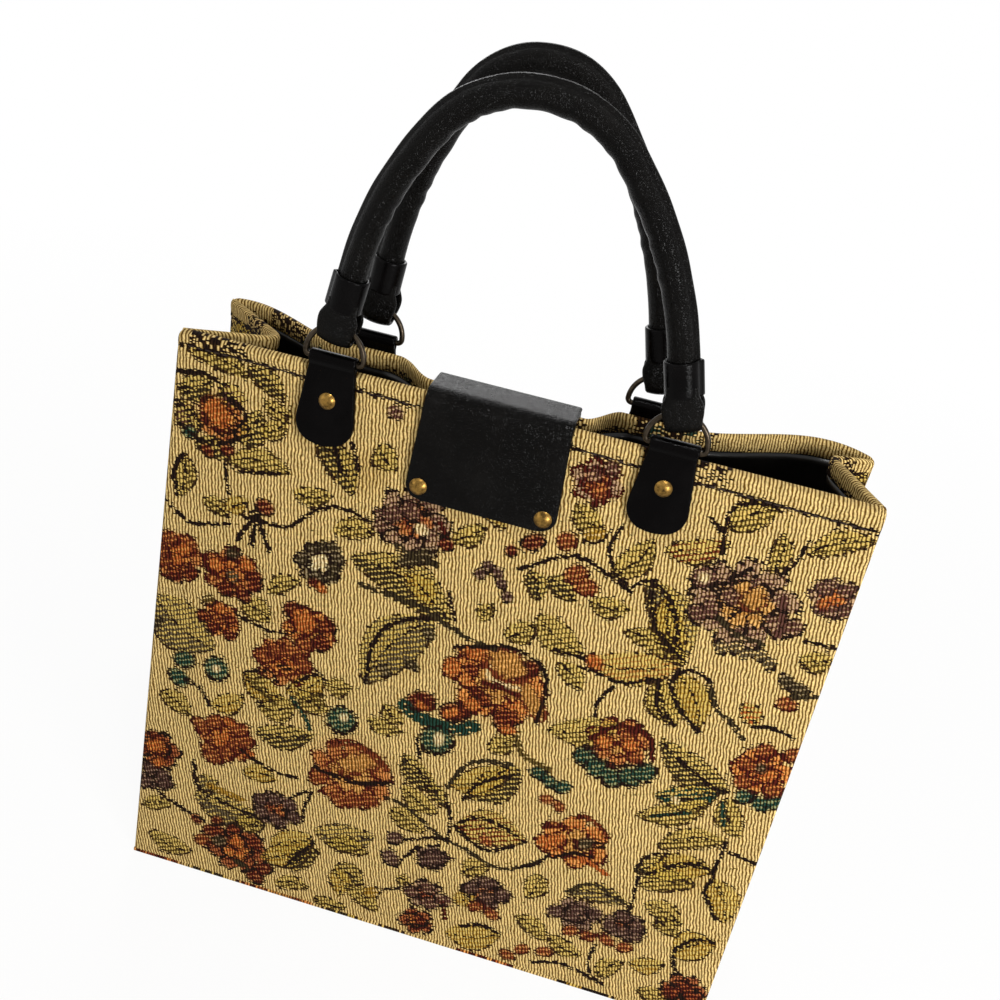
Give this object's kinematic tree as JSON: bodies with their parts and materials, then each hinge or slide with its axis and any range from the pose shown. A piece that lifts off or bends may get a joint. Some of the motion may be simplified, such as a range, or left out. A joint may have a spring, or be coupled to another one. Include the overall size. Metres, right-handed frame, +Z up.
{
  "type": "carpet bag",
  "caption": "Boxy tapestry carpet bag with folded side gussets, rolled leather handles on wire rings, riveted leather tabs and a closing flap with press studs.",
  "frame": {"origin": "on the floor under the middle of the base", "axes": "+X to the right seen from the front, +Y from the front panel to the back panel, +Z up"},
  "size_m": [0.33, 0.096, 0.4624],
  "materials": {
    "tapestry": "woven floral tapestry on a cream and gold ground",
    "lining": "black vinyl",
    "board": "stiff fibre board",
    "leather": "black grained leather",
    "ring_metal": "antique, worn",
    "rivet_metal": "antique, worn"
  },
  "bodies": {
    "bag": {"front_panel": "tapestry", "back_panel": "tapestry", "left_gusset": "tapestry", "right_gusset": "tapestry", "base_panel": "tapestry", "base_board": "board", "lining": "lining", "front_left_tab": "leather", "front_right_tab": "leather", "back_left_tab": "leather", "back_right_tab": "leather", "tab_rivets": "rivet_metal", "flap_anchor": "leather", "anchor_rivets": "rivet_metal", "snap_studs": "rivet_metal"},
    "flap": {"closing_flap": "leather", "snap_caps": "rivet_metal"},
    "front_left_ring": {"front_left_ring": "ring_metal"},
    "front_right_ring": {"front_right_ring": "ring_metal"},
    "back_left_ring": {"back_left_ring": "ring_metal"},
    "back_right_ring": {"back_right_ring": "ring_metal"},
    "front_handle": {"front_handle": "leather", "front_left_sleeve": "leather", "front_right_sleeve": "leather"},
    "back_handle": {"back_handle": "leather", "back_left_sleeve": "leather", "back_right_sleeve": "leather"}
  },
  "joints": [
    {"name": "flap_hinge", "type": "hinge", "parent": "bag", "child": "flap", "pos_m": [-0.0098, -0.0089, 0.3131], "axis": [-1, 0, 0], "range_deg": [0, 180]},
    {"name": "front_left_ring_swing", "type": "hinge", "parent": "bag", "child": "front_left_ring", "pos_m": [-0.0888, -0.03052, 0.3156], "axis": [1, 0, 0], "range_deg": [-3, 90]},
    {"name": "front_right_ring_swing", "type": "hinge", "parent": "bag", "child": "front_right_ring", "pos_m": [0.0692, -0.03052, 0.3156], "axis": [1, 0, 0], "range_deg": [-3, 90]},
    {"name": "front_handle_swing", "type": "hinge", "parent": "front_left_ring", "child": "front_handle", "pos_m": [-0.0098, -0.03052, 0.33002], "axis": [1, 0, 0], "range_deg": [-3, 85]},
    {"name": "back_left_ring_swing", "type": "hinge", "parent": "bag", "child": "back_left_ring", "pos_m": [-0.083, 0.01124, 0.31568], "axis": [-1, 0, 0], "range_deg": [-3, 90]},
    {"name": "back_right_ring_swing", "type": "hinge", "parent": "bag", "child": "back_right_ring", "pos_m": [0.057, 0.01124, 0.31568], "axis": [-1, 0, 0], "range_deg": [-3, 90]},
    {"name": "back_handle_swing", "type": "hinge", "parent": "back_left_ring", "child": "back_handle", "pos_m": [-0.013, 0.01124, 0.33011], "axis": [-1, 0, 0], "range_deg": [-3, 85]}
  ],
  "couplings": [
    {"joint": "front_right_ring_swing", "follows": "front_left_ring_swing", "ratio": 1},
    {"joint": "back_right_ring_swing", "follows": "back_left_ring_swing", "ratio": 1}
  ]
}
